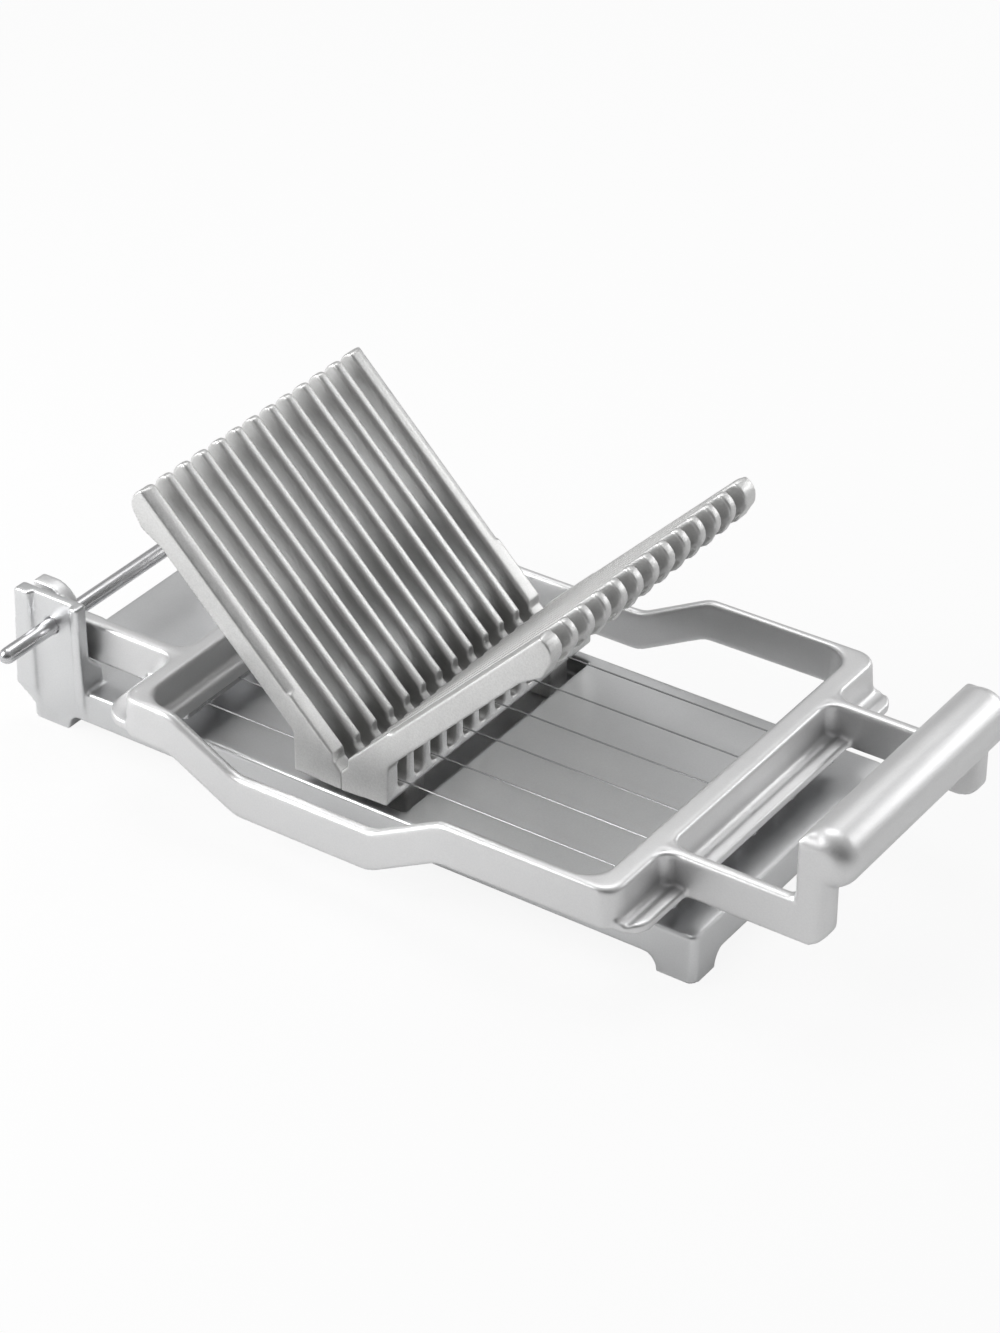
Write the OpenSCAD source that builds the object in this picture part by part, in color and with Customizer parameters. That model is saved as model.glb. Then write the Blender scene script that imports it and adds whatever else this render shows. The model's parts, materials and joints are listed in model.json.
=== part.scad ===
// Cheese and butter cutter: a hinged frame of six wires that swings down through a V of two combs.
// The side of the handle is +X, up is +Z, and the part stands on the table at z = 0.
// Distances along X are measured from the plane where the two combs meet, and the finished
// part is then moved so that its origin is the middle of its footprint.

/* [Base casting] */
// Height of the deck above the table
deck_top = 19; // [16:0.5:24]
// Thickness of the deck plate
deck_t = 4; // [3:0.5:5]
// Width of the base
base_w = 122.2; // [116:0.2:128]
// From the comb plane to the front edge of the base
base_front = 141.4; // [132:0.2:146]
// From the comb plane to the rear edge of the base
base_rear = 139; // [136:0.5:141]
// Thickness of the side and end walls
wall_t = 4; // [3:0.5:6]
// Height of the arches between the feet
arch_h = 6.2; // [4:0.2:8]
// Round at the top corners of the arches
arch_round = 5; // [2:0.5:5.5]
// Length of a front foot along the side
front_foot_l = 15.2; // [12:0.2:24]
// Length of a rear foot along the side
rear_foot_l = 17; // [12:0.5:24]
// Width of a foot across the end
foot_w = 13.3; // [10:0.1:20]
// Round of the four upright corners
corner_round = 3; // [2:0.5:5]
// Round of the deck's top edge
deck_round = 1.2; // [0.6:0.2:2]
// Thickness of the ribs under the deck
rib_t = 3; // [2:0.5:4]
// Depth of the ribs under the deck
rib_h = 5; // [3:0.5:7]
// Number of cross ribs on each side of the comb recess
rib_count = 2; // [1:1:4]

/* [Comb recess in the deck] */
// Length of the recess along X
recess_l = 44.8; // [42:0.2:50]
// From the side of the base to the end of the recess
recess_edge = 4.6; // [4.6:0.1:8]
// Depth of the recess floor below the deck
recess_depth = 8; // [6:0.5:9]
// Thickness of the recess floor
recess_floor_t = 4; // [3:0.5:5]

/* [Hinge brackets] */
// Height of the brackets above the table
bracket_top = 54.2; // [52:0.2:60]
// From the comb plane to the front edge of a bracket
bracket_front = 112.8; // [110:0.2:116]
// From the comb plane to the rear edge of a bracket at its top
bracket_rear = 141.4; // [140:0.2:143]
// From the comb plane to the rear edge of a bracket low down
bracket_heel = 143.7; // [142:0.1:146]
// Height where the overhanging heel starts to slope in
bracket_heel_z = 14; // [12:0.5:17]
// Height where the heel meets the foot
bracket_toe_z = 7.6; // [5:0.2:9]
// Thickness of a bracket's plate
bracket_t = 3.5; // [3:0.1:4.5]
// Width of the rear upright rib on a bracket's outer face
bracket_rib_w = 6.8; // [4:0.2:7]
// Width of the front upright rib on a bracket's outer face
bracket_front_rib_w = 3.6; // [3:0.2:5]
// How far the two upright ribs stand out
bracket_rib_h = 2.3; // [1.5:0.1:3.5]

/* [Rest ledge inside each bracket] */
// From the comb plane to the place where the ledge steps down
ledge_step = 124; // [122:0.5:126]
// How far the ledge reaches in from the outside of the base
ledge_w = 10.3; // [9:0.1:12]
// Height of the sloped edge of the ledge
ledge_slope = 3; // [2:0.5:4]

/* [Hinge] */
// Diameter of the hinge pin
pin_d = 6; // [5:0.5:8]
// Length of the hinge pin
pin_l = 175; // [150:1:190]
// From the comb plane back to the pin
pin_back = 127; // [126:0.5:128]
// Height of the pin above the table
pin_z = 42; // [41:0.5:43.5]
// Running clearance round the pin
pin_fit = 0.05; // [0.02:0.01:0.1]
// Length of the pin's rounded nose
pin_nose = 3.4; // [2:0.2:4]
// Height of the lugs' tops
lug_top = 53; // [52:0.5:53.5]
// Radius of a lug's round nose
lug_nose_r = 11; // [10:0.5:12]
// Side clearance between a lug's boss and its bracket
lug_gap = 0.3; // [0.2:0.1:0.6]
// Angle at which the lifted frame meets its stop
open_angle = 105; // [95:1:115]
// Gap that is left at the two stops
stop_gap = 0.2; // [0.1:0.05:0.4]

/* [Cutting frame] */
// Height of the frame's top face
frame_top = 44; // [43:0.5:46]
// Height of the frame's walls
frame_h = 15.5; // [14:0.5:17]
// Inside width between the side rails
frame_in_w = 160.4; // [150:0.2:170]
// Thickness of a side rail at its top
rail_t = 4; // [3.5:0.1:6]
// From the comb plane to the inside of the front crossbar
front_in = 115.7; // [110:0.2:120]
// Width of the front crossbar's top
front_bar_w = 8.8; // [7:0.2:12]
// From the comb plane to the inside of the rear crossbar
rear_in = 70; // [68:0.5:74]
// Width of the rear crossbar's top
rear_bar_w = 7.3; // [6:0.1:9]
// Radius of the inner corners seen from above
frame_in_round = 10; // [6:0.5:14]
// Radius of the outer corners seen from above
frame_out_round = 7; // [4:0.5:10]
// How far the middle of each rail drops
rail_drop = 15; // [0:0.5:15]
// From the comb plane to the bottom of each slope
drop_start = 28.2; // [24:0.2:34]
// From the comb plane to the top of each slope
drop_end = 56.2; // [50:0.2:62]
// Round on the outer top edge
edge_out_r = 2; // [1:0.1:2.2]
// Round on the inner top edge
edge_in_r = 1.4; // [0.8:0.1:1.6]
// Outward draft of the walls over their height
wall_draft = 1; // [0:0.1:1.5]

/* [Crossbar flanges and wire ledges] */
// Thickness of the flanges at the frame's lower edge
flange_t = 3.5; // [3:0.1:4.5]
// From the comb plane to the rear flange's edge
rear_flange = 89.4; // [87:0.2:92]
// From the comb plane to the front flange's lip
front_flange = 133.3; // [132:0.2:136]
// Round of the rear flange's ears
rear_ear_r = 12; // [8:0.5:12]
// Round of the front flange's ears
front_ear_r = 8; // [5:0.5:9]
// Width across the ears
ear_w = 164.6; // [158:0.2:166]
// How far the ledges over the wires reach inward
ledge_in = 5; // [3:0.5:6]
// Thickness of the ledges over the wires
ledge_t = 4.8; // [4:0.2:6]
// Radius of the groove along the front flange
groove_r = 2.5; // [1.5:0.1:3]
// Depth of the groove along the front flange
groove_depth = 0.7; // [0.3:0.1:1]

/* [Arms and handle] */
// Space between a rear arm and its bracket, which the lug's boss bridges
rear_arm_gap = 3.6; // [3:0.1:4.6]
// Thickness of a rear arm
rear_arm_t = 6; // [5:0.2:6.4]
// Inside distance between the two handle arms
handle_arm_in = 99; // [94:0.5:104]
// Thickness of a handle arm
handle_arm_t = 5; // [4.5:0.1:6]
// Round on the arms' top edges
arm_round = 1.6; // [0.8:0.1:2]
// Fillet where the arms meet the crossbars
arm_fillet = 5; // [3:0.5:7]
// From the comb plane to the middle of the handle bar
bar_x = 182; // [176:0.5:190]
// Height of the middle of the handle bar
bar_z = 61; // [58:0.5:66]
// Diameter of the handle bar
bar_d = 21.2; // [18:0.2:24]
// Round of the handle bar's ends
bar_end_r = 7.5; // [4:0.5:9]
// Length of a handle leg along X
leg_l = 12.5; // [11:0.5:14]
// Thickness of a handle leg
leg_t = 8.5; // [7.5:0.5:9]
// Round of a leg's outer front edge
leg_round = 6; // [4:0.5:6.5]
// Round of a leg's bottom front corner
leg_toe_r = 9; // [5:0.5:9]
// Round of a leg's shoulder next to the bar
leg_corner_r = 5; // [3:0.5:6]
// Drop from the top of the handle bar to the top of a leg
leg_drop = 1.6; // [1:0.1:3]

/* [Combs] */
// Distance from one slot to the next, three eighths of an inch
slot_pitch = 9.525; // [9:0.025:10]
// Number of slots
slot_count = 12; // [8:2:12]
// Width of a slot
slot_w = 5.6; // [4:0.1:6]
// Height of the rounded slot bottoms above the table
slot_floor = 26.5; // [26:0.1:27]
// From the middle of the outermost slot to the side of a comb
comb_side = 9.6125; // [8:0.0125:10]
// Length of a comb's root block
root_l = 19.5; // [18:0.1:20]
// Height of the root block's underside at the comb plane
root_z = 22.3; // [21.5:0.1:23]
// Rise of the underside toward the root block's outer face
root_rise = 1.1; // [0:0.1:1.5]
// Height of the working faces where they meet the comb plane
work_rise = 32.8; // [31:0.1:34]
// Height of the outer faces where they meet the comb plane
outer_rise = 19.4; // [18:0.1:22]
// Horizontal half width of the gutter between the combs
gutter_w = 3; // [2.6:0.1:3.6]
// Height of the fins' tips above the table
tip_z = 113; // [90:0.5:116]
// Round along the edges of the fins' faces
fin_round = 1; // [0.4:0.1:1.2]
// Round of a fin's tip next to its working face
tip_corner_r = 1.5; // [1:0.1:2.5]
// Width of the ground edge on the outermost fins
ground_w = 3.2; // [2:0.1:4]
// Depth of the ground edge on the outermost fins
ground_h = 1; // [0.5:0.1:1.5]
// From the comb plane to the start of the ground edge
ground_start = 20.7; // [18:0.1:24]
// Width of a mounting lug
lug_w = 11; // [9:0.5:13]
// Length of a mounting lug along X
lug_l = 16.5; // [14:0.5:17]
// From the end of the recess to the near side of a lug
lug_side = 7.5; // [6:0.5:13]

/* [Wires and their clamps] */
// Diameter of a cutting wire
wire_d = 0.6; // [0.4:0.1:1]
// Number of wires, one in every second slot
wire_count = 6; // [6:1:6]
// Diameter of the sleeve pressed on each wire end
sleeve_d = 2.4; // [2:0.1:3]
// Length of a sleeve
sleeve_l = 5; // [4:0.5:6]
// Thickness of a clamp bar
clamp_t = 3; // [2.5:0.1:3.5]
// From the outermost wire to the end of a clamp bar
clamp_end = 9.375; // [8.5:0.025:11]
// From a clamp bar's wire edge to its other edge
clamp_w = 17; // [15:0.5:18]
// How far a clamp bar's wire edge lies back from the ledge
clamp_back = 1.5; // [0.5:0.5:3]
// Number of screws in a clamp bar
clamp_screws = 5; // [3:1:5]
// From the end of a clamp bar to its outermost screw
clamp_screw_end = 7.6; // [6:0.2:12]

/* [Screws] */
// Thread diameter of a clamp screw
clamp_screw_d = 4; // [3:0.5:4]
// Head diameter of a clamp screw
clamp_head_d = 7; // [6:0.5:7.5]
// Head height of a clamp screw
clamp_head_h = 2.4; // [2:0.1:2.6]
// Thread diameter of a comb screw
comb_screw_d = 5; // [4:0.5:6]
// Head diameter of a comb screw
comb_head_d = 9; // [8:0.5:10]
// Head height of a comb screw
comb_head_h = 3.3; // [2.5:0.1:3.6]
// Thickness of the washer under a comb screw
washer_t = 1; // [0.8:0.1:1.2]
// Diameter of the washer under a comb screw
washer_d = 10; // [9:0.5:12]
// Clearance round a screw or a sleeve in its hole
hole_fit = 0.05; // [0.03:0.01:0.1]
// Clearance round a screw where it passes through without thread
pass_fit = 0.25; // [0.1:0.05:0.4]

/* [Hidden] */
$fn = 48;
wire_names = [for (i = [1 : wire_count]) str("wire_", i)];

// Overrun of a cut past the face that it leaves
over = 1;
casting = [0.78, 0.78, 0.79];
deck_metal = [0.66, 0.67, 0.68];
steel = [0.6, 0.61, 0.63];

// The part's origin: the middle of its length, on the table
bar_front = bar_x + bar_d / 2;
leg_x = bar_x - bar_d / 2 + leg_drop;
origin_x = (bar_front - bracket_heel) / 2;

// Heights in the base
deck_under = deck_top - deck_t;
recess_w = base_w - 2 * recess_edge;
recess_floor = deck_top - recess_depth;
recess_under = recess_floor - recess_floor_t;

// Brackets, measured from the middle of the part outward
bracket_out = base_w / 2;
bracket_in = bracket_out - bracket_t;
bracket_mid = (bracket_front + bracket_rear) / 2;

// The frame and where it rests
frame_under = frame_top - frame_h;
rest_z = frame_under - stop_gap;
frame_in = frame_in_w / 2;
frame_out = frame_in + rail_t;
front_out = front_in + front_bar_w;
rear_out = rear_in + rear_bar_w;
rear_arm_out = bracket_in - rear_arm_gap;
rear_arm = rear_arm_out - rear_arm_t;
handle_arm = handle_arm_in / 2;
handle_arm_out = handle_arm + handle_arm_t;

// The lug turns about the pin; its upper rear corner is the heel that stops the lifted frame
lug_boss_share = 1.35;
lug_r = pin_z - frame_under;
lug_boss_r = pin_d * lug_boss_share;
heel_reach = norm([lug_r, lug_top - pin_z]);
heel_start = 180 - atan2(lug_top - pin_z, lug_r);
heel_z = pin_z + heel_reach * sin(heel_start + open_angle);
ledge_low = heel_z - stop_gap;
ledge_in_y = bracket_out - ledge_w;

// Wires lie against the underside of the ledges, in every second slot
wire_z = frame_under - wire_d / 2;
wire_mid_y = -slot_pitch / 2;
rear_ledge = rear_in - ledge_in;
front_ledge = front_in - ledge_in;
rear_clamp_in = rear_ledge + clamp_back;
front_clamp_in = front_ledge + clamp_back;
clamp_under = frame_under - clamp_t;
// A screw's head reaches a little past the bar's edge, so that its hole clears the sleeves
clamp_head_past = 0.5;
clamp_screw_back = clamp_w - clamp_head_d / 2 + clamp_head_past;
// Metal left above a clamp screw's blind hole, and the space left past the screw's end
clamp_hole_roof = 0.5;
clamp_screw_end_gap = 0.5;
clamp_hole_top = frame_under + flange_t - groove_depth - clamp_hole_roof;
// Space left past the end of a comb screw in its blind hole
comb_screw_end_gap = 1;
sleeve_back = clamp_w / 3;
clamp_l = 2 * ((wire_count - 1) * slot_pitch + clamp_end);
clamp_pitch = (clamp_l - 2 * clamp_screw_end) / (clamp_screws - 1);

function slot_y(k) = (k - (slot_count + 1) / 2) * slot_pitch;
function wire_y(i) = slot_y(2 * i - 1);
function screw_y(i) = wire_mid_y + (i - (clamp_screws + 1) / 2) * clamp_pitch;

// General helpers

module mirrored() {
    children();
    mirror([0, 1, 0]) children();
}

// A flat outline drawn in X and Z, drawn out along Y from y0 to y1
module along_y(y0, y1) {
    translate([0, y1, 0]) rotate([90, 0, 0]) linear_extrude(y1 - y0) children();
}

// A flat outline drawn in Y and Z, drawn out along X from x0 to x1
module along_x(x0, x1) {
    translate([x0, 0, 0]) rotate([90, 0, 90]) linear_extrude(x1 - x0) children();
}

module box(x0, x1, y0, y1, z0, z1) {
    translate([x0, y0, z0]) cube([x1 - x0, y1 - y0, z1 - z0]);
}

// A rectangle from corner to corner with round corners
module round_rect(x0, x1, y0, y1, r) {
    translate([x0 + r, y0]) square([x1 - x0 - 2 * r, y1 - y0]);
    translate([x0, y0 + r]) square([x1 - x0, y1 - y0 - 2 * r]);
    for (x = [x0 + r, x1 - r], y = [y0 + r, y1 - r]) translate([x, y]) circle(r);
}

// A rectangle whose two top corners are round
module round_top(x0, x1, y0, y1, r) {
    translate([x0, y0]) square([x1 - x0, y1 - y0 - r]);
    translate([x0 + r, y0]) square([x1 - x0 - 2 * r, y1 - y0]);
    for (x = [x0 + r, x1 - r]) translate([x, y1 - r]) circle(r);
}

// The corner piece that a fillet of radius r leaves, in the quadrant of sx and sy
module cove(r, sx, sy) {
    difference() {
        translate([min(0, sx * r), min(0, sy * r)]) square(r);
        translate([sx * r, sy * r]) circle(r);
    }
}

module drill(x, y, z0, z1, d) {
    translate([x, y, z0]) cylinder(h = z1 - z0, d = d);
}

module drill_y(x, z, y0, y1, d) {
    translate([x, y1, z]) rotate([90, 0, 0]) cylinder(h = y1 - y0, d = d);
}

module drill_x(y, z, x0, x1, d) {
    translate([x0, y, z]) rotate([0, 90, 0]) cylinder(h = x1 - x0, d = d);
}

// Base casting

module base_block() {
    intersection() {
        linear_extrude(deck_top)
            round_rect(-base_rear, base_front, -base_w / 2, base_w / 2, corner_round);
        along_y(-base_w, base_w) round_top(-base_rear, base_front, 0, deck_top, deck_round);
        along_x(-base_rear, base_front)
            round_top(-base_w / 2, base_w / 2, 0, deck_top, deck_round);
    }
}

// The hollow under the deck, less the feet, the ribs and the tub of the comb recess
module base_hollow() {
    side = base_w / 2 - wall_t;
    tub_l = recess_l / 2 + wall_t;
    difference() {
        box(wall_t - base_rear, base_front - wall_t, -side, side, -over, deck_under);
        box(-tub_l, tub_l, -base_w, base_w, recess_under, deck_top);
        mirrored() {
            box(base_front - front_foot_l, base_front, base_w / 2 - foot_w, base_w, -over * 2, deck_top);
            box(-base_rear, rear_foot_l - base_rear, base_w / 2 - foot_w, base_w, -over * 2, deck_top);
        }
        rib_z = deck_under - rib_h;
        for (i = [1 : rib_count]) {
            front_x = tub_l + (base_front - wall_t - tub_l) * i / (rib_count + 1);
            rear_x = tub_l + (base_rear - wall_t - tub_l) * i / (rib_count + 1);
            for (x = [front_x, -rear_x])
                box(x - rib_t / 2, x + rib_t / 2, -base_w, base_w, rib_z, deck_top);
        }
        box(-base_rear, base_front, -rib_t / 2, rib_t / 2, rib_z, deck_top);
    }
}

// An arch outline from a to b along the table, with round upper corners
module arch(a, b) {
    translate([a, -arch_h]) round_rect(0, b - a, 0, 2 * arch_h, arch_round);
}

// The outline of a bracket's plate, whose heel overhangs the base and slopes in above the foot
module bracket_outline() {
    polygon([
        [-bracket_front, arch_h],
        [-bracket_front, bracket_top],
        [-bracket_rear, bracket_top],
        [-bracket_heel, bracket_heel_z],
        [-base_rear, bracket_toe_z],
        [-base_rear, arch_h]]);
}

// The upright rib's section fades into the wall at its lower end
module bracket_rib_section() {
    polygon([
        [bracket_in, bracket_top],
        [bracket_out + bracket_rib_h, bracket_top],
        [bracket_out + bracket_rib_h, bracket_heel_z],
        [bracket_out, arch_h],
        [bracket_in, arch_h]]);
}

// The ledge that the arm rests on, with a slope up to the plate and a lower step behind
module ledge_section(top) {
    rise = bracket_in - rear_arm_out;
    polygon([
        [bracket_out - bracket_t / 2, deck_under],
        [ledge_in_y, deck_under],
        [ledge_in_y, top - ledge_slope],
        [ledge_in_y + ledge_slope, top],
        [rear_arm_out, top],
        [bracket_in, top + rise],
        [bracket_out - bracket_t / 2, top + rise]]);
}

module bracket() {
    along_y(bracket_in, bracket_out) bracket_outline();
    intersection() {
        along_y(bracket_in, bracket_out + bracket_rib_h) bracket_outline();
        union() {
            along_x(-bracket_heel, bracket_rib_w - bracket_rear) bracket_rib_section();
            along_x(-bracket_front - bracket_front_rib_w, -bracket_front) bracket_rib_section();
        }
    }
    along_x(-ledge_step, -bracket_front) ledge_section(rest_z);
    along_x(-bracket_rear, -ledge_step) ledge_section(ledge_low);
}

module base_casting() {
    color(deck_metal) difference() {
        union() {
            base_block();
            mirrored() bracket();
        }
        base_hollow();
        along_y(-base_w, base_w) arch(rear_foot_l - base_rear, base_front - front_foot_l);
        along_x(-base_rear - over, base_front + over) arch(foot_w - base_w / 2, base_w / 2 - foot_w);
        box(-recess_l / 2, recess_l / 2, -recess_w / 2, recess_w / 2, recess_floor, deck_top + over);
        drill_y(-pin_back, pin_z, -base_w, base_w, pin_d + 2 * pin_fit);
        for (x = [-lug_x, lug_x], y = [-lug_y, lug_y])
            drill(x, y, -over, deck_top, comb_screw_d + 2 * pass_fit);
    }
}

// Combs

comb_w = (slot_count - 1) * slot_pitch + 2 * comb_side;
lug_x = root_l / 2;
lug_y = recess_w / 2 - lug_side - lug_w / 2;
tip_run = tip_z - work_rise;
tip_r = (work_rise - outer_rise) / 2;
// A fin's tip is a large round on its outer side and a small one next to its working face
tip_lead = tip_r / 5;
tip_c = [tip_run - tip_lead, tip_z - tip_r];
corner_in = (work_rise + tip_c[0] - tip_c[1]) / sqrt(2) - tip_corner_r;
corner_on = sqrt(pow(tip_r - tip_corner_r, 2) - pow(corner_in, 2));
corner_c = tip_c + [corner_on - corner_in, corner_on + corner_in] / sqrt(2);
corner_a = atan2(corner_c[1] - tip_c[1], corner_c[0] - tip_c[0]);
tip_first_a = -40;
tip_steps = 8;
bend_steps = 4;
fin_lean = 45;

function arc_points(c, r, a0, a1, n) =
    [for (i = [0 : n]) c + r * [cos(a0 + (a1 - a0) * i / n), sin(a0 + (a1 - a0) * i / n)]];

// One fin seen from the side, for the comb in front of the comb plane. The tip's outer side
// flares a little, and the gutter at the root is a notch shared by both combs.
module fin_outline() {
    flare = tip_r / 4;
    polygon(concat(
        [[0, root_z], [root_l, root_z + root_rise]],
        root_fillet(outer_rise + root_l),
        [[tip_run - tip_r, outer_rise + tip_run - tip_r],
         [tip_run + flare, outer_rise + tip_run - flare]],
        arc_points(tip_c, tip_r, tip_first_a, corner_a, tip_steps),
        arc_points(corner_c, tip_corner_r, corner_a, 90 + fin_lean, bend_steps),
        [[gutter_w, work_rise + gutter_w],
         [gutter_w, work_rise],
         [0, work_rise - gutter_w]]));
}

// A fillet between the upright face of the root block and the sloping outer face
function root_fillet(root_top) =
    let (r = slot_w, run = r * tan(fin_lean / 2))
    arc_points([root_l + r, root_top - run], r, 180, 180 - fin_lean, bend_steps);

// Slots right through the comb, eased at the fins' tips
module slots() {
    r = slot_w / 2;
    along_x(-over, tip_z)
        for (k = [1 : slot_count])
            translate([slot_y(k), slot_floor + r]) {
                circle(r);
                translate([-r, 0]) square([slot_w, tip_z]);
            }
    along_x(tip_run - tip_r, tip_z) translate([0, tip_z]) slot_mouths();
}

// Widens every slot above height 0, where the fins' faces are, so that the fins' edges are round
module slot_mouths() {
    flank = [for (a = [0 : 30 : 90])
        [slot_w / 2 + fin_round * (1 - cos(a)), fin_round * (sin(a) - 1)]];
    half = concat(flank, [[slot_w / 2 + fin_round, over]]);
    mouth = concat(half, [for (i = [len(half) - 1 : -1 : 0]) [-half[i][0], half[i][1]]]);
    for (k = [1 : slot_count]) translate([slot_y(k), 0]) polygon(mouth);
}

// Something drawn along X, leaned over so that it lies along a face that starts at height z
module leaned(z) {
    translate([0, 0, z]) rotate([0, -fin_lean, 0]) children();
}

module comb() {
    outer = comb_w / 2;
    reach = tip_z * sqrt(2);
    difference() {
        union() {
            along_y(-outer, outer) fin_outline();
            mirrored()
                box(lug_x - lug_l / 2, lug_x + lug_l / 2, lug_y - lug_w / 2, lug_y + lug_w / 2,
                    recess_floor, root_z + root_rise);
        }
        slots();
        leaned(work_rise) along_x(0, reach) slot_mouths();
        leaned(outer_rise) along_x((root_l + slot_w) * sqrt(2), reach) mirror([0, 1]) slot_mouths();
        leaned(work_rise) mirrored() along_x(ground_start * sqrt(2), reach)
            polygon([[outer - ground_w, 0], [outer - ground_w, over], [outer + over, over],
                [outer + over, -ground_h], [outer, -ground_h]]);
        mirrored() drill(lug_x, lug_y, recess_floor - over, root_z, comb_screw_d + 2 * hole_fit);
    }
}

module front_comb() {
    color(casting) comb();
}

module rear_comb() {
    color(casting) mirror([1, 0, 0]) comb();
}

// Cutting frame. The four walls are one loft round the frame: each station has a point on the
// inner outline, one on the outer outline and a drop, and the wall's rounded section is drawn
// between them.

arc_steps = 8;
bend_r = 3;

function corner_station(sx, sy, a) =
    let (
        in_x = sx > 0 ? front_in - frame_in_round : frame_in_round - rear_in,
        out_x = sx > 0 ? front_out - frame_out_round : frame_out_round - rear_out,
        dir = [cos(a), sin(a)])
    [[in_x, sy * (frame_in - frame_in_round)] + frame_in_round * dir,
     [out_x, sy * (frame_out - frame_out_round)] + frame_out_round * dir,
     0];

// A ramp that starts at zero with a soft bend of half width w
function soft_ramp(t, w) = t < -w ? 0 : t > w ? t : (t + w) * (t + w) / (4 * w);

function rail_fall(x) =
    let (slope = rail_drop / (drop_end - drop_start), run = abs(x))
    -rail_drop + slope * (soft_ramp(run - drop_start, bend_r) - soft_ramp(run - drop_end, bend_r));

rail_half = [for (b = [drop_start, drop_end], i = [-bend_steps : 2 : bend_steps]) b + bend_r * i / bend_steps];
rail_xs = concat([for (i = [len(rail_half) - 1 : -1 : 0]) -rail_half[i]], rail_half);

function rail_station(x, sy) = [[x, sy * frame_in], [x, sy * frame_out], rail_fall(x)];

stations = concat(
    [for (i = [0 : arc_steps]) corner_station(1, 1, 90 * i / arc_steps)],
    [for (i = [len(rail_xs) - 1 : -1 : 0]) rail_station(rail_xs[i], 1)],
    [for (i = [0 : arc_steps]) corner_station(-1, 1, 90 + 90 * i / arc_steps)],
    [for (i = [0 : arc_steps]) corner_station(-1, -1, 180 + 90 * i / arc_steps)],
    [for (x = rail_xs) rail_station(x, -1)],
    [for (i = [0 : arc_steps]) corner_station(1, -1, 270 + 90 * i / arc_steps)]);

// The wall's section: side 0 is measured from the inner outline and side 1 from the outer one
edge_low_r = edge_in_r / 2;
edge_steps = 4;
function edge_arc(side, r, a0, a1) =
    [for (i = [0 : edge_steps]) let (a = a0 + (a1 - a0) * i / edge_steps)
        [side, r * (1 - cos(a)), frame_h - r * (1 - sin(a))]];
wall_section = concat(
    [[0, edge_low_r, 0], [1, edge_low_r, 0], [1, 0, edge_low_r]],
    edge_arc(1, edge_out_r, 0, 90),
    edge_arc(0, edge_in_r, 90, 0),
    [[0, 0, edge_low_r]]);

function wall_point(s, p) =
    let (
        out = (s[1] - s[0]) / norm(s[1] - s[0]),
        lean = wall_draft * (frame_h - p[2]) / frame_h,
        flat = p[0] == 0 ? s[0] + out * (p[1] - lean) : s[1] - out * (p[1] - lean))
    [flat[0], flat[1], frame_under + p[2] + s[2]];

module frame_walls() {
    n = len(stations);
    m = len(wall_section);
    polyhedron(
        points = [for (s = stations, p = wall_section) wall_point(s, p)],
        faces = [for (i = [0 : n - 1], j = [0 : m - 1], half = [0, 1])
            let (
                i2 = (i + 1) % n,
                j2 = (j + 1) % m)
            half == 0 ? [i * m + j, i * m + j2, i2 * m + j2] : [i * m + j, i2 * m + j2, i2 * m + j]]);
}

module ledge_outline(edge, wall) {
    bevel = edge_low_r;
    polygon([
        [edge, frame_under],
        [edge, frame_under + ledge_t - bevel],
        [edge + bevel, frame_under + ledge_t],
        [wall, frame_under + ledge_t + bevel],
        [wall, frame_under]]);
}

module frame_flanges() {
    flange_top = frame_under + flange_t;
    lean = wall_draft * (frame_h - flange_t) / frame_h;
    half = ear_w / 2;
    // The rear flange and its ledge
    translate([0, 0, frame_under]) linear_extrude(flange_t) intersection() {
        round_rect(-rear_flange, 0, -half, half, rear_ear_r);
        translate([-rear_flange, -half]) square([rear_flange - rear_in - rear_bar_w / 2, ear_w]);
    }
    mirror([1, 0, 0]) along_y(-frame_in - over, frame_in + over) ledge_outline(rear_ledge, rear_in + over);
    along_y(frame_out_round - frame_out, frame_out - frame_out_round)
        translate([-rear_out - lean, flange_top]) cove(groove_r, -1, 1);
    // The front flange and its ledge
    difference() {
        translate([0, 0, frame_under]) linear_extrude(flange_t) intersection() {
            round_rect(0, front_flange, -half, half, front_ear_r);
            translate([front_in + front_bar_w / 2, -half])
                square([front_flange - front_in - front_bar_w / 2, ear_w]);
        }
        drill_y(front_out + lean + groove_r, flange_top + groove_r - groove_depth,
            -ear_w, ear_w, 2 * groove_r);
    }
    along_y(-frame_in - over, frame_in + over) ledge_outline(front_ledge, front_in + over);
}

module arm(y0, y1, x0, x1) {
    along_x(x0, x1) round_top(y0, y1, frame_under, frame_top, arm_round);
}

// A fillet seen from above, over the full height of the walls
module wall_cove(x, y, sx, sy) {
    translate([x, y, frame_under]) linear_extrude(frame_h) cove(arm_fillet, sx, sy);
}

// The lug is round behind and under the pin, square at the heel, and falls to the arm in an arc
module lug_outline() {
    translate([-pin_back, pin_z]) {
        intersection() {
            circle(lug_r);
            translate([-lug_r, -lug_r]) square([lug_r, lug_r]);
        }
        translate([-lug_r, 0]) square([lug_nose_r / 2, lug_top - pin_z]);
    }
    translate([-pin_back, frame_under]) square([lug_r, frame_h]);
    translate([lug_nose_r / 2 - lug_r - pin_back, lug_top - lug_nose_r])
        intersection() {
            circle(lug_nose_r);
            translate([0, frame_under - lug_top + lug_nose_r])
                square([lug_nose_r, lug_top - frame_under]);
        }
}

module rear_arm_and_lug() {
    arm(rear_arm, rear_arm_out, -pin_back, -rear_in - rear_bar_w / 2);
    along_y(rear_arm, rear_arm_out) lug_outline();
    drill_y(-pin_back, pin_z, rear_arm_out - over, bracket_in - lug_gap, 2 * lug_boss_r);
    wall_cove(-rear_out, rear_arm, -1, -1);
    wall_cove(-rear_out, rear_arm_out, -1, 1);
}

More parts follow.
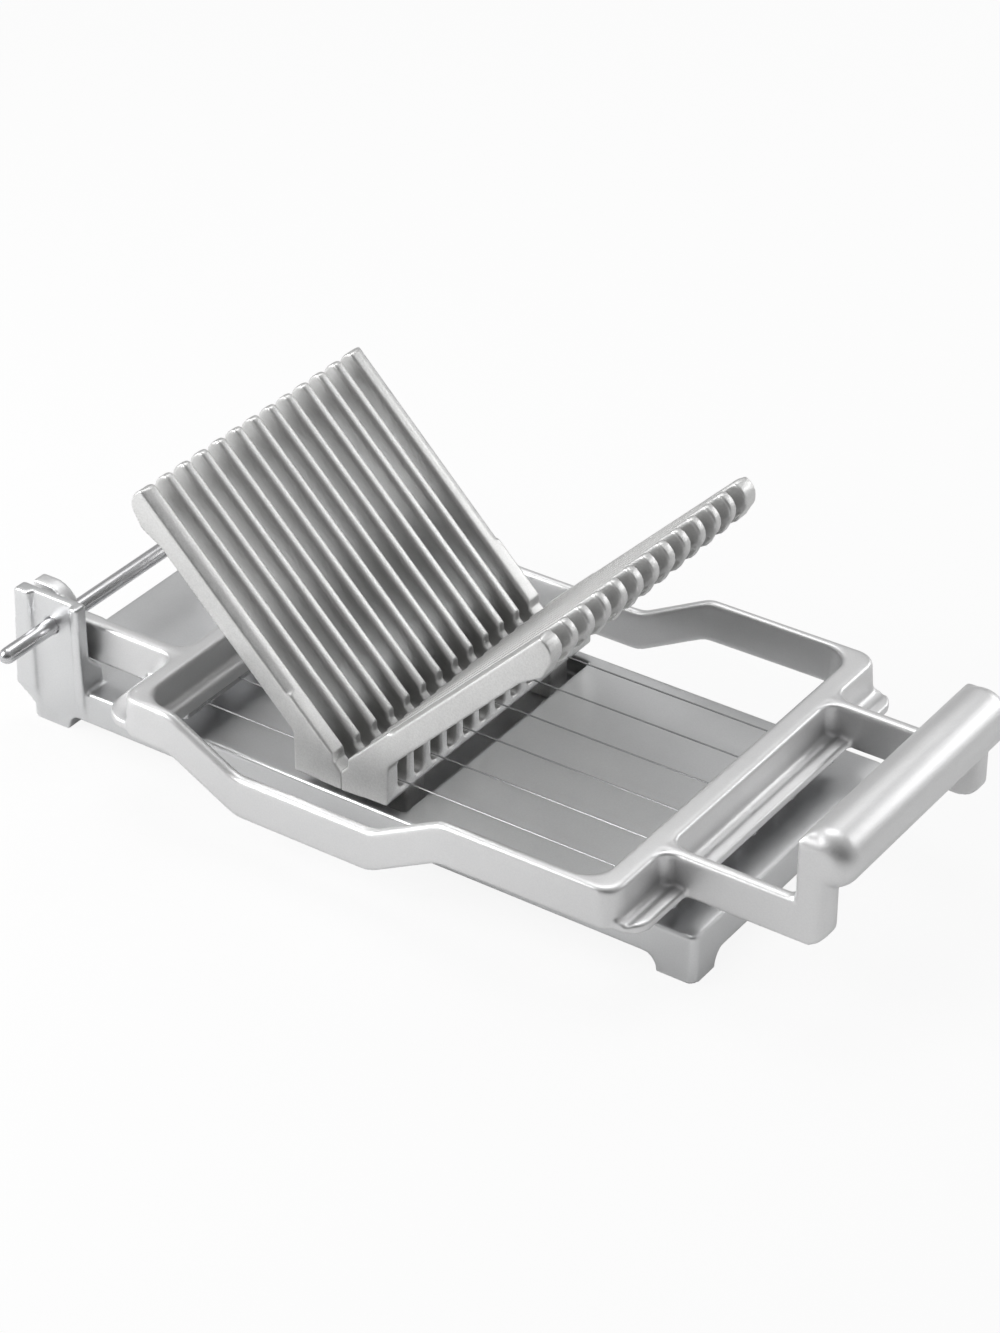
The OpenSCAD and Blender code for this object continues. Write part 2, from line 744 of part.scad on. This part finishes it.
// A handle leg stands flush with the outside of its arm. It is round at its upright front edges,
// at its bottom front corner and at the shoulder where it runs into the end of the bar.
module handle_leg() {
    leg_in = handle_arm_out - leg_t;
    leg_front = leg_x + leg_l;
    leg_top = bar_z + bar_d / 2 - leg_drop;
    intersection() {
        translate([0, 0, frame_under]) linear_extrude(bar_z)
            difference() {
                translate([leg_x, leg_in]) square([leg_l, leg_t]);
                translate([leg_front, handle_arm_out]) cove(leg_round, -1, -1);
                translate([leg_front, leg_in]) cove(leg_t - leg_round, -1, 1);
                translate([leg_x, handle_arm_out]) cove(arm_round, 1, -1);
            }
        along_y(leg_in, handle_arm_out) difference() {
            translate([leg_x, frame_under]) square([leg_l, leg_top - frame_under]);
            translate([leg_front, frame_under]) cove(leg_toe_r, -1, 1);
            translate([leg_x, leg_top]) cove(leg_corner_r, 1, -1);
        }
        along_x(leg_x, leg_front)
            round_top(leg_in - leg_corner_r, handle_arm_out, frame_under, leg_top, leg_corner_r);
    }
    arm(handle_arm, handle_arm_out, leg_x, leg_x + leg_l / 2);
    along_y(handle_arm, handle_arm_out - arm_round)
        translate([leg_x, frame_top]) cove(leg_corner_r - arm_round, -1, 1);
}

module handle_bar() {
    r = bar_d / 2;
    translate([bar_x, 0, bar_z]) rotate([90, 0, 0]) rotate_extrude() intersection() {
        round_rect(-r, r, -handle_arm_out, handle_arm_out, bar_end_r);
        translate([0, -handle_arm_out]) square([r, 2 * handle_arm_out]);
    }
}

module cutting_frame() {
    color(casting) difference() {
        union() {
            frame_walls();
            frame_flanges();
            mirrored() {
                rear_arm_and_lug();
                arm(handle_arm, handle_arm_out, front_in + front_bar_w / 2, leg_x + arm_round);
                wall_cove(front_out, handle_arm, 1, -1);
                wall_cove(front_out, handle_arm_out, 1, 1);
                handle_leg();
            }
            handle_bar();
        }
        drill_y(-pin_back, pin_z, -base_w, base_w, pin_d + 2 * pin_fit);
        wire_seats(-1);
        wire_seats(1);
        clamp_holes(-1, frame_under - over, clamp_hole_top, clamp_screw_d + 2 * hole_fit);
        clamp_holes(1, frame_under - over, clamp_hole_top, clamp_screw_d + 2 * hole_fit);
    }
}

// Hinge pin

module pin_outline() {
    r = pin_d / 2;
    steps = 5;
    half = pin_l / 2;
    tip = [for (i = [0 : steps]) [r * cos(90 * i / steps), half - pin_nose + pin_nose * sin(90 * i / steps)]];
    polygon(concat(
        tip,
        [for (i = [steps : -1 : 0]) [tip[i][0], -tip[i][1]]]));
}

module hinge_pin() {
    color(steel) translate([-pin_back, 0, pin_z]) rotate([90, 0, 0]) rotate_extrude() pin_outline();
}

// Wires: side is -1 for the rear crossbar and 1 for the front one

function clamp_x(side) = side * (side < 0 ? rear_clamp_in : front_clamp_in);

module wire(i) {
    color(steel) {
        rear_end = clamp_x(-1) - sleeve_back;
        front_end = clamp_x(1) + sleeve_back;
        drill_x(wire_y(i), wire_z, rear_end - sleeve_l / 2, front_end + sleeve_l / 2, wire_d);
        drill_x(wire_y(i), wire_z, rear_end - sleeve_l, rear_end, sleeve_d);
        drill_x(wire_y(i), wire_z, front_end, front_end + sleeve_l, sleeve_d);
    }
}

// The pockets that hold the sleeves, half in the frame and half in the clamp bar
module wire_seats(side) {
    start = clamp_x(side) + side * (sleeve_back - hole_fit);
    finish = start + side * (sleeve_l + 2 * hole_fit);
    for (i = [1 : wire_count])
        drill_x(wire_y(i), wire_z, min(start, finish), max(start, finish), sleeve_d + 2 * hole_fit);
}

module wire_grooves(side) {
    start = clamp_x(side) - side * over;
    finish = clamp_x(side) + side * (sleeve_back + over);
    for (i = [1 : wire_count])
        drill_x(wire_y(i), wire_z, min(start, finish), max(start, finish), wire_d + 2 * hole_fit);
}

module clamp_holes(side, z0, z1, d) {
    for (i = [1 : clamp_screws])
        drill(clamp_x(side) + side * clamp_screw_back, screw_y(i), z0, z1, d);
}

module wire_clamp(side) {
    x0 = clamp_x(side);
    x1 = x0 + side * clamp_w;
    color(steel) difference() {
        translate([0, 0, clamp_under]) linear_extrude(clamp_t)
            round_rect(min(x0, x1), max(x0, x1), wire_mid_y - clamp_l / 2, wire_mid_y + clamp_l / 2,
                edge_out_r);
        wire_seats(side);
        wire_grooves(side);
        clamp_holes(side, clamp_under - over, frame_under + over, clamp_screw_d + 2 * pass_fit);
    }
}

// Screws and washers, all put in from below

// A pan-head screw with its head down and its seat at z = 0
module screw(d, l, head_d, head_h) {
    slot_t = head_h / 3;
    difference() {
        union() {
            cylinder(h = l, d = d);
            translate([0, 0, -head_h]) cylinder(h = head_h, d = head_d);
        }
        translate([-head_d, -slot_t / 2, -head_h - over]) cube([2 * head_d, slot_t, over + slot_t]);
    }
}

module clamp_screw_set(side) {
    reach = clamp_hole_top - clamp_under - clamp_screw_end_gap;
    color(steel)
        for (i = [1 : clamp_screws])
            translate([clamp_x(side) + side * clamp_screw_back, screw_y(i), clamp_under])
                screw(clamp_screw_d, reach, clamp_head_d, clamp_head_h);
}

module comb_screw_set(side) {
    seat = recess_under - washer_t;
    reach = root_z - seat - comb_screw_end_gap;
    color(steel)
        for (y = [-lug_y, lug_y])
            translate([side * lug_x, y, seat]) screw(comb_screw_d, reach, comb_head_d, comb_head_h);
}

module comb_washer_set(side) {
    color(steel)
        for (y = [-lug_y, lug_y])
            translate([side * lug_x, y, recess_under - washer_t]) difference() {
                cylinder(h = washer_t, d = washer_d);
                translate([0, 0, -over]) cylinder(h = washer_t + 2 * over, d = comb_screw_d + 2 * pass_fit);
            }
}

// Everything is drawn from the comb plane and then moved to the part's origin

module at_origin() {
    translate([-origin_x, 0, 0]) children();
}

at_origin() base_casting();
at_origin() rear_comb();
at_origin() front_comb();
at_origin() cutting_frame();
at_origin() hinge_pin();
for (i = [1 : wire_count])
    at_origin() wire(i);
at_origin() wire_clamp(-1);  // rear_wire_clamp
at_origin() wire_clamp(1);  // front_wire_clamp
at_origin() clamp_screw_set(-1);  // rear_clamp_screws
at_origin() clamp_screw_set(1);  // front_clamp_screws
at_origin() comb_screw_set(-1);  // rear_comb_screws
at_origin() comb_screw_set(1);  // front_comb_screws
at_origin() comb_washer_set(-1);  // rear_comb_washers
at_origin() comb_washer_set(1);  // front_comb_washers
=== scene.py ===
# %% [markdown]
# # A cheese and butter cutter
# The cutter is made of cast aluminium and steel. A flat base carries two slotted combs that
# meet in a V, and a hinged frame of six wires swings down through their slots. The shapes are
# exact solids from the part's source, so this scene gives them edges, finishes, light and a camera.

# %% Load the frame
import json
import math

import bpy
from mathutils import Matrix, Vector

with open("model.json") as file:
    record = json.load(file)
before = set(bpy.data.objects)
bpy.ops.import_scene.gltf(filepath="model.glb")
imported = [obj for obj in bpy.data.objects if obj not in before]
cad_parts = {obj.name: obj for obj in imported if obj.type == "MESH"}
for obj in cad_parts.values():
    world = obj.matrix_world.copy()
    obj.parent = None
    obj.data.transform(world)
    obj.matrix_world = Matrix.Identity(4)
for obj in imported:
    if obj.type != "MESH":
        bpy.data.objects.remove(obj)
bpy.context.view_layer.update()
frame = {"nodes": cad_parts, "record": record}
nodes = frame["nodes"]
print("nodes:", len(nodes))

# %% [markdown]
# ## The camera
# A product photo of a long, low object is taken from above one corner with a long lens. The
# camera's place and aim were worked out from straight edges in the photo: the combs' parallel
# fins, the base's corners and the hinge pin. A long lens keeps those parallels nearly parallel.

# %% Camera
PHOTO_W = 1000
PHOTO_H = 1333
SENSOR_MM = 36
FOCAL_PX = 3853.62
CENTRE_PX = (505.44, 660.31)
CAMERA_PLACE = (0.630967, -0.909723, 0.769406)
YAW = 2.176781
PITCH = -0.575859
ROLL = -0.002096


def aim(yaw, pitch, roll):
    """The rotation of a camera that looks along yaw and pitch, turned by roll, in radians."""
    level = math.cos(pitch)
    ahead = Vector((level * math.cos(yaw), level * math.sin(yaw), math.sin(pitch)))
    right = ahead.cross(Vector((0, 0, 1))).normalized()
    up = right.cross(ahead)
    return Matrix((right, up, -ahead)).transposed().to_4x4() @ Matrix.Rotation(roll, 4, "Z")


lens = bpy.data.cameras.new("camera")
lens.sensor_fit = "HORIZONTAL"
lens.sensor_width = SENSOR_MM
lens.lens = FOCAL_PX * SENSOR_MM / PHOTO_W
lens.shift_x = (PHOTO_W / 2 - CENTRE_PX[0]) / PHOTO_W
lens.shift_y = (CENTRE_PX[1] - PHOTO_H / 2) / PHOTO_W
camera = bpy.data.objects.new("camera", lens)
bpy.context.scene.collection.objects.link(camera)
camera.matrix_world = Matrix.Translation(CAMERA_PLACE) @ aim(YAW, PITCH, ROLL)
bpy.context.scene.camera = camera
print("lens:", round(lens.lens, 1), "mm")

# %% [markdown]
# ## The skin of a casting
# Molten metal never fills a sharp corner: a casting is round at every edge and has a small fillet
# in every inside corner, and tumbling rounds it further. Those rounds catch the light. Bevels on
# hundreds of crossing edges would tear, so the castings get a new skin instead. Weld closes the
# seams of the solid, Remesh lays a fine even net over it, Smooth lets that net settle at every
# edge and corner, and Decimate thins the net again where the metal is flat.

# %% Castings
MM = 0.001
WELD_GAP = 0.002 * MM
SETTLE_FACTOR = 0.5
KEPT_SHARE = 0.2


def close_seams(node):
    """Shades a node smoothly and joins the points that its solid has twice."""
    for face in node.data.polygons:
        face.use_smooth = True
    weld = node.modifiers.new("weld", "WELD")
    weld.merge_threshold = WELD_GAP


def cast_skin(name, net, passes):
    """Rounds each edge and corner: net is the size of the net in metres, passes settle it."""
    node = nodes[name]
    close_seams(node)
    skin = node.modifiers.new("skin", "REMESH")
    skin.mode = "VOXEL"
    skin.voxel_size = net
    skin.use_smooth_shade = True
    settle = node.modifiers.new("settle", "SMOOTH")
    settle.factor = SETTLE_FACTOR
    settle.iterations = passes
    thin = node.modifiers.new("thin", "DECIMATE")
    thin.decimate_type = "COLLAPSE"
    thin.ratio = KEPT_SHARE
    print(name, "has a skin with a net of", round(net / MM, 2), "mm")


cast_skin("base_casting", net=0.7 * MM, passes=6)
cast_skin("cutting_frame", net=0.7 * MM, passes=6)
cast_skin("rear_comb", net=0.6 * MM, passes=3)
cast_skin("front_comb", net=0.6 * MM, passes=3)

# %% [markdown]
# ## The edges of the steel
# The pin, the screws, the washers and the clamp bars are turned, headed or cut, so their edges are
# crisp and only just broken. Here a Bevel fits: Decimate first joins the flat triangles into whole
# faces, so that the bevel runs straight along each edge, and hardened normals keep the faces flat.

# %% Steel pieces
JOIN_ANGLE = math.radians(0.4)
SHARP_ANGLE = math.radians(34)
ROUND_STEPS = 2
WIRES = [f"wire_{i}" for i in range(1, 7)]
CLAMPS = ["rear_wire_clamp", "front_wire_clamp"]
SCREWS = ["rear_clamp_screws", "front_clamp_screws", "rear_comb_screws", "front_comb_screws"]
WASHERS = ["rear_comb_washers", "front_comb_washers"]


def break_edges(names, width):
    """Breaks the sharp edges of these nodes with a round of the given width in metres."""
    for name in names:
        node = nodes[name]
        close_seams(node)
        join = node.modifiers.new("join", "DECIMATE")
        join.decimate_type = "DISSOLVE"
        join.angle_limit = JOIN_ANGLE
        edge = node.modifiers.new("edge", "BEVEL")
        edge.width = width
        edge.segments = ROUND_STEPS
        edge.limit_method = "ANGLE"
        edge.angle_limit = SHARP_ANGLE
        edge.harden_normals = True
    print(len(names), "pieces with edges broken by", round(width / MM, 2), "mm")


break_edges(CLAMPS, width=0.3 * MM)
break_edges(SCREWS + WASHERS + ["hinge_pin"] + WIRES, width=0.1 * MM)

# %% [markdown]
# ## Shader maths
# A finish is a small network of nodes. Writing it as sums is easier to read, so this class wraps
# one socket and lets Python's operators add the Math nodes, also where the number comes first.

# %% A socket that can be calculated with


class Value:
    """A socket of a node tree, for sums with numbers and with other sockets."""

    def __init__(self, tree, socket):
        self.tree = tree
        self.socket = socket

    def maths(self, operation, first, second):
        made = add_node(self.tree, "ShaderNodeMath", {"operation": operation},
                        {0: first, 1: second})
        return Value(self.tree, made.outputs[0])

    def __add__(self, other):
        return self.maths("ADD", self, other)

    __radd__ = __add__

    def __mul__(self, other):
        return self.maths("MULTIPLY", self, other)

    __rmul__ = __mul__

    def __sub__(self, other):
        return self.maths("SUBTRACT", self, other)

    def __rsub__(self, other):
        return self.maths("SUBTRACT", other, self)

    def limited(self):
        made = add_node(self.tree, "ShaderNodeClamp", {}, {"Value": self})
        return Value(self.tree, made.outputs[0])


print("sockets can be calculated with")

# %% [markdown]
# ## One way to add a node
# Every node is made by the same function. It takes the node's type, its settings and its inputs,
# and it sets the settings first, because a setting can change which inputs a node has. A ramp's
# stops are one of the settings.

# %% Nodes


def fill_ramp(elements, stops):
    """Puts (position, grey) stops on the elements of a colour ramp."""
    for count, (position, grey) in enumerate(stops):
        if count < len(elements):
            element = elements[count]
            element.position = position
        else:
            element = elements.new(position)
        element.color = (grey, grey, grey, 1)


def add_node(tree, kind, settings, inputs):
    """Adds a node, sets its settings first, then fills its sockets with values or links."""
    made = tree.nodes.new(kind)
    for key, value in settings.items():
        if key == "ramp":
            fill_ramp(made.color_ramp.elements, value)
        else:
            setattr(made, key, value)
    for key, value in inputs.items():
        if isinstance(value, Value):
            tree.links.new(value.socket, made.inputs[key])
        else:
            made.inputs[key].default_value = value
    return made


def new_material(name):
    """A material with its node tree and one shader that is wired to the output."""
    material = bpy.data.materials.new(name)
    material.use_nodes = True
    tree = material.node_tree
    tree.nodes.clear()
    shader = add_node(tree, "ShaderNodeBsdfPrincipled", {}, {})
    add_node(tree, "ShaderNodeOutputMaterial", {}, {"Surface": Value(tree, shader.outputs["BSDF"])})
    return material, tree, shader


print("nodes can be added")

# %% [markdown]
# ## Noise, ramps and colours
# Metal is never one flat colour. Noise gives it clouds and grain, a ramp turns a soft value into a
# mask, and a mask mixes two colours. The noise is laid out on the object itself, in metres, so it
# stays on the metal when a piece moves and has its real size.

# %% Noise, ramps and colours
MIX_FACTOR = 0
MIX_FIRST = 6
MIX_SECOND = 7
MIX_RESULT = 2


def place(tree, stretch=(1, 1, 1)):
    """The place on the object in metres, stretched along X, Y and Z."""
    spot = add_node(tree, "ShaderNodeTexCoord", {}, {})
    scaled = add_node(tree, "ShaderNodeVectorMath", {"operation": "MULTIPLY"},
                      {0: Value(tree, spot.outputs["Object"]), 1: stretch})
    return Value(tree, scaled.outputs[0])


def noise(tree, where, scale, detail, rough=0.5):
    """Cloudy noise from 0 to 1, with about scale clouds to the metre."""
    made = add_node(tree, "ShaderNodeTexNoise", {},
                    {"Vector": where, "Scale": scale, "Detail": detail, "Roughness": rough})
    return Value(tree, made.outputs[0])


def ramp(tree, value, stops):
    """The value sent through a ramp of (position, grey) stops."""
    made = add_node(tree, "ShaderNodeValToRGB", {"ramp": stops}, {"Fac": value})
    return Value(tree, made.outputs[0])


def mix_colour(tree, factor, first, second):
    """A colour between first and second."""
    made = add_node(tree, "ShaderNodeMix", {"data_type": "RGBA"},
                    {MIX_FACTOR: factor, MIX_FIRST: first, MIX_SECOND: second})
    return Value(tree, made.outputs[MIX_RESULT])


print("noise, ramps and colours ready")

# %% [markdown]
# ## Hollows and edges
# The castings are die cast and then tumbled, which rubs their edges bright. Here the edges get that
# wear and a painted highlight together, and the deep places, such as the slots of the combs, are
# painted darker as shade and made rougher. Ambient Occlusion finds both from the shape itself:
# looking outward it finds the hollows, and looking inward it finds the edges.

# %% Where a casting is hollow and where it has edges
LOOKS = 8


def nearness(tree, reach, inside):
    """How much of the piece lies within reach metres: 0 where it is open, 1 where it is closed."""
    made = add_node(tree, "ShaderNodeAmbientOcclusion",
                    {"samples": LOOKS, "inside": inside, "only_local": True}, {"Distance": reach})
    return 1 - Value(tree, made.outputs["AO"])


print("hollows and edges can be found with", LOOKS, "looks")

# %% [markdown]
# ## Cast aluminium
# Noise of three sizes gives the metal patches of a few centimetres, small clouds and a fine grain.
# They change its tone, its gloss and, through Bump, its surface. All of it stays gentle, because
# the light should do most of the work. The combs come from a rougher mould, so they get the
# strongest grain, and their fin edges get the most wear with painted highlight: the brightest
# ridges.

# %% Cast aluminium
PATCHES = {"scale": 30, "detail": 4.0, "rough": 0.55}
CLOUDS = {"scale": 150, "detail": 3.0}
GRAIN = {"scale": 1700, "detail": 3.0, "rough": 0.7}
MIDDLE = 0.5
GRAIN_CONTRAST = 3
# Stops of the hollow mask, which paints shade darker into the colour and makes the metal rougher.
HOLLOW_STOPS = [(0.12, 0.0), (0.85, 1.0)]
EDGE_REACH = 1.2 * MM
EDGE_STOPS = [(0.15, 0.0), (0.6, 1.0)]
# The pale colour painted on the edges: wear and a painted highlight together.
EDGE_WEAR_AND_HIGHLIGHT_COLOUR = (0.95, 0.95, 0.94, 1)
TONE_SHARES = {"patches": 0.4, "clouds": 0.2, "grain": 0.4}
GLOSS_CHANGES = {"patches": 0.10, "grain": 0.06, "hollow": 0.12, "edge": 0.08}
BUMP_SHARES = {"clouds": 0.35, "grain": 0.65}
BUMP_DEPTH = 0.12 * MM


def cast_metal(name, pale, dark, painted_shade, rough, hollow_reach, grain, edge_wear_and_highlight=0.2):
    """Open faces run from dark to pale, hollows get painted shade, edges wear and painted highlight.
    """
    material, tree, shader = new_material(name)
    where = place(tree)
    patches = noise(tree, where, **PATCHES)
    clouds = noise(tree, where, **CLOUDS)
    fine = noise(tree, where, **GRAIN)
    # The hollow mask: where shade is painted into the colour, and where the metal is rougher.
    hollow = ramp(tree, nearness(tree, hollow_reach, False), HOLLOW_STOPS)
    edge = ramp(tree, nearness(tree, EDGE_REACH, True), EDGE_STOPS)
    speckle = (fine - MIDDLE) * GRAIN_CONTRAST + MIDDLE
    tone = (patches * TONE_SHARES["patches"] + clouds * TONE_SHARES["clouds"]
            + speckle * TONE_SHARES["grain"]).limited()
    skin = mix_colour(tree, tone, (*dark, 1), (*pale, 1))
    # Edges painted pale: wear and a painted highlight together.
    worn_and_highlit = mix_colour(tree, (edge * edge_wear_and_highlight).limited(), skin, EDGE_WEAR_AND_HIGHLIGHT_COLOUR)
    # Hollows painted darker with the shade colour: painted shade.
    colour = mix_colour(tree, hollow, worn_and_highlit, (*painted_shade, 1))
    tree.links.new(colour.socket, shader.inputs["Base Color"])
    gloss = (rough + (patches - MIDDLE) * GLOSS_CHANGES["patches"]
             + (fine - MIDDLE) * GLOSS_CHANGES["grain"]
             + hollow * GLOSS_CHANGES["hollow"] - edge * GLOSS_CHANGES["edge"])
    tree.links.new(gloss.limited().socket, shader.inputs["Roughness"])
    shader.inputs["Metallic"].default_value = 1.0
    height = clouds * BUMP_SHARES["clouds"] + fine * BUMP_SHARES["grain"]
    bump = add_node(tree, "ShaderNodeBump", {},
                    {"Strength": grain, "Distance": BUMP_DEPTH, "Height": height})
    tree.links.new(bump.outputs["Normal"], shader.inputs["Normal"])
    print(name, "made")
    return material


# %% The three castings' finishes
# The darkest colour of each finish is painted shade for its hollows.
FINISH = {
    "base_metal": cast_metal(
        "base_metal", pale=(0.78, 0.785, 0.79), dark=(0.68, 0.685, 0.69), painted_shade=(0.32, 0.32, 0.325),
        rough=0.36, hollow_reach=9 * MM, grain=0.2),
    "cast_metal": cast_metal(
        "cast_metal", pale=(0.82, 0.82, 0.82), dark=(0.72, 0.72, 0.725), painted_shade=(0.42, 0.42, 0.425),
        rough=0.44, hollow_reach=9 * MM, grain=0.4),
    # The combs' fin edges get the most pale paint: wear and a painted highlight together.
    "comb_metal": cast_metal(
        "comb_metal", pale=(0.82, 0.82, 0.815), dark=(0.58, 0.58, 0.575), painted_shade=(0.34, 0.34, 0.335),
        rough=0.45, hollow_reach=10 * MM, grain=0.9, edge_wear_and_highlight=0.8),
}

# %% [markdown]
# ## Drawn steel
# The pin, the wires, the clamp bars and the screws are bright steel. Drawn bar has fine lines along
# its length, and noise that is stretched along one axis draws them: along Y for the pin, and along
# X for the wires.

# %% Drawn steel
LINES = {"scale": 900, "detail": 2.0}
STEEL_CLOUDS = {"scale": 60, "detail": 3.0}
LINE_SHARE = 0.7
LINE_GLOSS = 0.12
LINE_BUMP = 0.2
LINE_DEPTH = 0.03 * MM
ALONG_Y = (1, 0.04, 1)
ALONG_X = (0.04, 1, 1)


def drawn_steel(name, pale, dark, rough, stretch):
    """Steel with fine lines, where stretch is small along the axis that the lines run in."""
    material, tree, shader = new_material(name)
    lines = noise(tree, place(tree, stretch), **LINES)
    clouds = noise(tree, place(tree), **STEEL_CLOUDS)
    tone = (lines * LINE_SHARE + clouds * (1 - LINE_SHARE)).limited()
    colour = mix_colour(tree, tone, (*dark, 1), (*pale, 1))
    tree.links.new(colour.socket, shader.inputs["Base Color"])
    gloss = rough + (lines - MIDDLE) * LINE_GLOSS
    tree.links.new(gloss.limited().socket, shader.inputs["Roughness"])
    shader.inputs["Metallic"].default_value = 1.0
    bump = add_node(tree, "ShaderNodeBump", {},
                    {"Strength": LINE_BUMP, "Distance": LINE_DEPTH, "Height": lines})
    tree.links.new(bump.outputs["Normal"], shader.inputs["Normal"])
    print(name, "made")
    return material


FINISH["steel"] = drawn_steel(
    "steel", pale=(0.68, 0.68, 0.69), dark=(0.52, 0.52, 0.53), rough=0.28, stretch=ALONG_Y)
FINISH["wire_steel"] = drawn_steel(
    "wire_steel", pale=(0.48, 0.48, 0.49), dark=(0.38, 0.38, 0.39), rough=0.35, stretch=ALONG_X)

# %% [markdown]
# ## Give each piece its finish
# The record names a material slot for each piece, and the finishes above have the same names.

# %% Assign the finishes
for part in frame["record"]["subparts"]:
    mesh = nodes[part["node"]].data
    mesh.materials.clear()
    mesh.materials.append(FINISH[part["material_slot"]])
print("finishes given to", len(nodes), "nodes")

# %% [markdown]
# ## White for the camera
# The table and the wall behind it must be white in the picture, and the table still holds a soft
# shadow. Light Path tells what kind of ray arrives: it mixes a plain white into them for the camera
# and, a little, for reflections, and all other light meets the real table and the shaded room.

# %% Plain white for the camera
WHITE = (1, 1, 1, 1)
WHITE_REFLECTED = 0.1


def white_share(tree, seen):
    """How much plain white a ray meets: seen for the camera, a little when it is mirrored."""
    rays = add_node(tree, "ShaderNodeLightPath", {}, {})
    mirrored = (Value(tree, rays.outputs["Is Glossy Ray"])
                + Value(tree, rays.outputs["Is Transmission Ray"])).limited()
    return Value(tree, rays.outputs["Is Camera Ray"]) * seen + mirrored * WHITE_REFLECTED


def add_white(tree, seen, real, white, output):
    """Mixes white into what is really there, by the kind of ray, and wires it to the output."""
    both = add_node(tree, "ShaderNodeMixShader", {},
                    {0: white_share(tree, seen), 1: Value(tree, real), 2: Value(tree, white)})
    tree.links.new(both.outputs["Shader"], tree.nodes[output].inputs["Surface"])


print("white in reflections:", WHITE_REFLECTED)

# %% [markdown]
# ## The table
# The cutter stands on a wide, pale, matt table. One big square at the height of its feet is
# enough.

# %% Floor
FLOOR_SIZE = 20.0
FLOOR_WHITE = 0.9
FLOOR_GREY = (0.85, 0.85, 0.85, 1)
FLOOR_ROUGH = 0.9
half = FLOOR_SIZE / 2
corners = [(-half, -half, 0), (half, -half, 0), (half, half, 0), (-half, half, 0)]
floor_mesh = bpy.data.meshes.new("floor")
floor_mesh.from_pydata(corners, [], [(0, 1, 2, 3)])
floor = bpy.data.objects.new("floor", floor_mesh)
bpy.context.scene.collection.objects.link(floor)
floor_material, floor_tree, floor_shader = new_material("floor")
floor_shader.inputs["Base Color"].default_value = FLOOR_GREY
floor_shader.inputs["Roughness"].default_value = FLOOR_ROUGH
floor_shader.inputs["Specular IOR Level"].default_value = 0.0
plain = add_node(floor_tree, "ShaderNodeEmission", {}, {"Color": WHITE, "Strength": 1.0})
add_white(floor_tree, FLOOR_WHITE, floor_shader.outputs["BSDF"], plain.outputs["Emission"],
          "Material Output")
floor_mesh.materials.append(floor_material)
print("floor laid, side", FLOOR_SIZE, "m")

# %% [markdown]
# ## The lamps
# Bright metal shows its surroundings, so the light matters more than the metal's colour. A large
# soft box gives a broad, quiet highlight where a small one would glare. One stands to the left, a
# weak one to the right, and a large one high behind the cutter, which lights the faces that look up.

# %% Lamps


def lamp(name, heading, height, away, size, power):
    """A soft box away metres from the part, at a heading and a height in degrees, aimed at it."""
    flat = math.cos(math.radians(height)) * away
    spot = Vector((math.cos(math.radians(heading)) * flat,
                   math.sin(math.radians(heading)) * flat,
                   math.sin(math.radians(height)) * away))
    light = bpy.data.lights.new(name, "AREA")
    light.shape = "RECTANGLE"
    light.size, light.size_y = size
    light.energy = power
    holder = bpy.data.objects.new(name, light)
    holder.location = spot
    holder.rotation_euler = (-spot).to_track_quat("-Z", "Y").to_euler()
    bpy.context.scene.collection.objects.link(holder)
    print(name, power, "W")


lamp("left_box", heading=-140, height=30, away=0.9, size=(0.5, 0.4), power=5.2)
lamp("right_box", heading=60, height=25, away=1.2, size=(0.7, 0.35), power=2.5)
lamp("back_box", heading=125, height=68, away=1.8, size=(1.3, 0.9), power=9)

# %% [markdown]
# ## The room
# The room is pale, with a dark side where the photographer stands. That dark side draws the bands
# that make a round handle look round. A direction's dot product with the one towards the dark side
# says how much it looks that way, and a ramp turns that into a grey.

# %% World
WALL_WHITE = 1.0
SKY_DARK = 0.0
SKY_PALE = 0.39
DARK_SIDE = (0.574, -0.819, 0.0)
DARK_STARTS = 0.35
DARK_FULL = 0.85
world = bpy.data.worlds.new("studio")
bpy.context.scene.world = world
world.use_nodes = True
sky = world.node_tree
way = add_node(sky, "ShaderNodeTexCoord", {}, {})
facing = add_node(sky, "ShaderNodeVectorMath", {"operation": "DOT_PRODUCT"},
                  {0: Value(sky, way.outputs["Generated"]), 1: DARK_SIDE})
shade = ramp(sky, Value(sky, facing.outputs["Value"]),
             [(DARK_STARTS, SKY_PALE), (DARK_FULL, SKY_DARK)])
room = sky.nodes["Background"]
sky.links.new(shade.socket, room.inputs["Color"])
wall = add_node(sky, "ShaderNodeBackground", {}, {"Color": WHITE, "Strength": 1.0})
add_white(sky, WALL_WHITE, room.outputs["Background"], wall.outputs["Background"], "World Output")
bpy.context.scene.view_settings.view_transform = "Standard"
print("room greys from", SKY_DARK, "to", SKY_PALE)

# %% [markdown]
# ## Finish

# %% Finish
print("scene finished")
